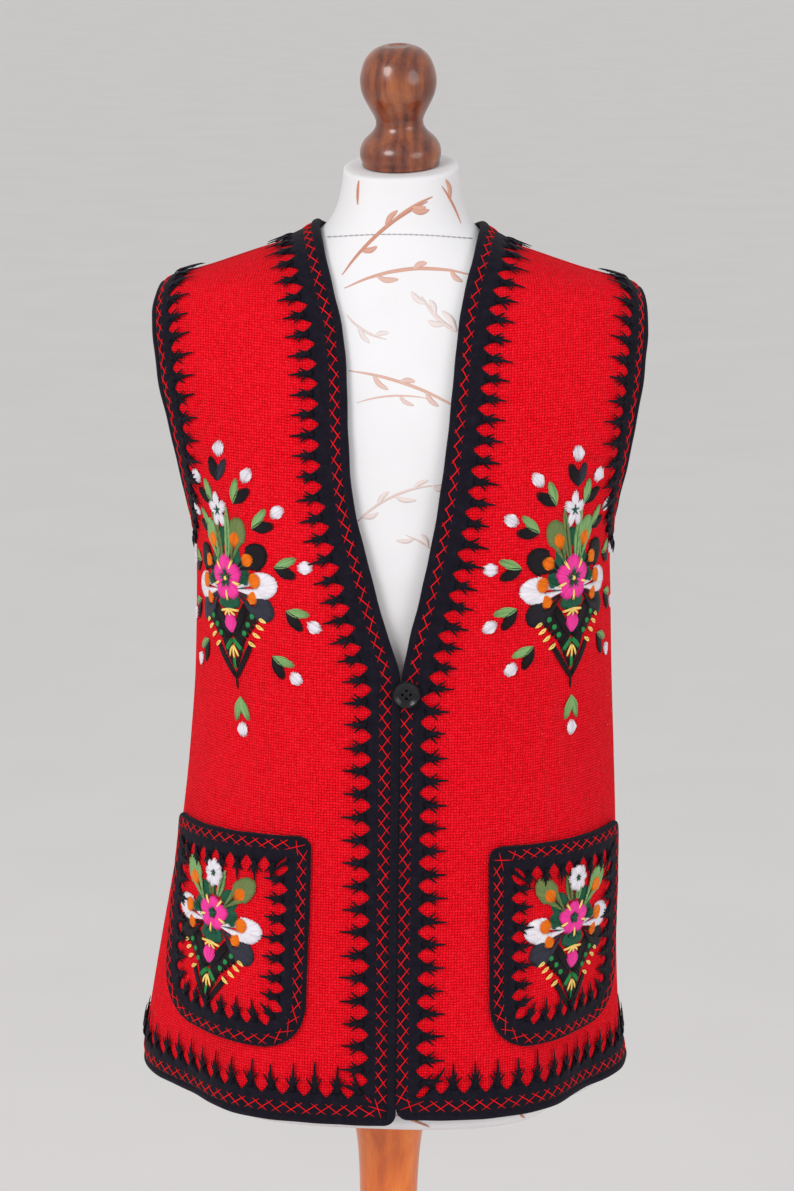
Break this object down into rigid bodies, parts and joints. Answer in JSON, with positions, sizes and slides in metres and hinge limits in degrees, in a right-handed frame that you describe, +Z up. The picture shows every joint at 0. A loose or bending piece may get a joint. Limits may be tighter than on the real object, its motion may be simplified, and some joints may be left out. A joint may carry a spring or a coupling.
{
  "type": "embroidered vest on dress form stand",
  "caption": "Sleeveless red wool vest with toothed black borders, flower embroidery and patch pockets, worn on a limbless dress form on a turned wooden stand.",
  "frame": {"origin": "on the floor, at the centre of the round base's underside", "axes": "+Z up, the vest's front faces -Y, +X to the viewer's right, which is the wearer's left"},
  "size_m": [0.41, 0.41, 1.4826],
  "materials": {
    "red_wool": "coarse woven wool",
    "black_wool": "felted wool",
    "black_plastic": "gloss",
    "black_thread": "twisted thread",
    "printed_cover": "smooth woven cover",
    "dark_wood": "gloss varnish",
    "light_wood": "gloss varnish"
  },
  "bodies": {
    "root": {"front_right": "red_wool", "front_left": "red_wool", "back": "red_wool", "pocket_right": "red_wool", "pocket_left": "red_wool", "front_band_right": "black_wool", "front_band_left": "black_wool", "front_binding_right": "black_wool", "front_binding_left": "black_wool", "armhole_band_right": "black_wool", "armhole_band_left": "black_wool", "armhole_binding_right": "black_wool", "armhole_binding_left": "black_wool", "pocket_band_right": "black_wool", "pocket_band_left": "black_wool", "pocket_binding_right": "black_wool", "pocket_binding_left": "black_wool", "hem_band_back": "black_wool", "hem_binding_back": "black_wool", "neck_band_back": "black_wool", "neck_binding_back": "black_wool", "button": "black_plastic", "button_stem": "black_thread", "button_loop": "black_thread", "dress_form": "printed_cover", "finial": "dark_wood", "column": "light_wood", "base": "light_wood"}
  },
  "joints": []
}
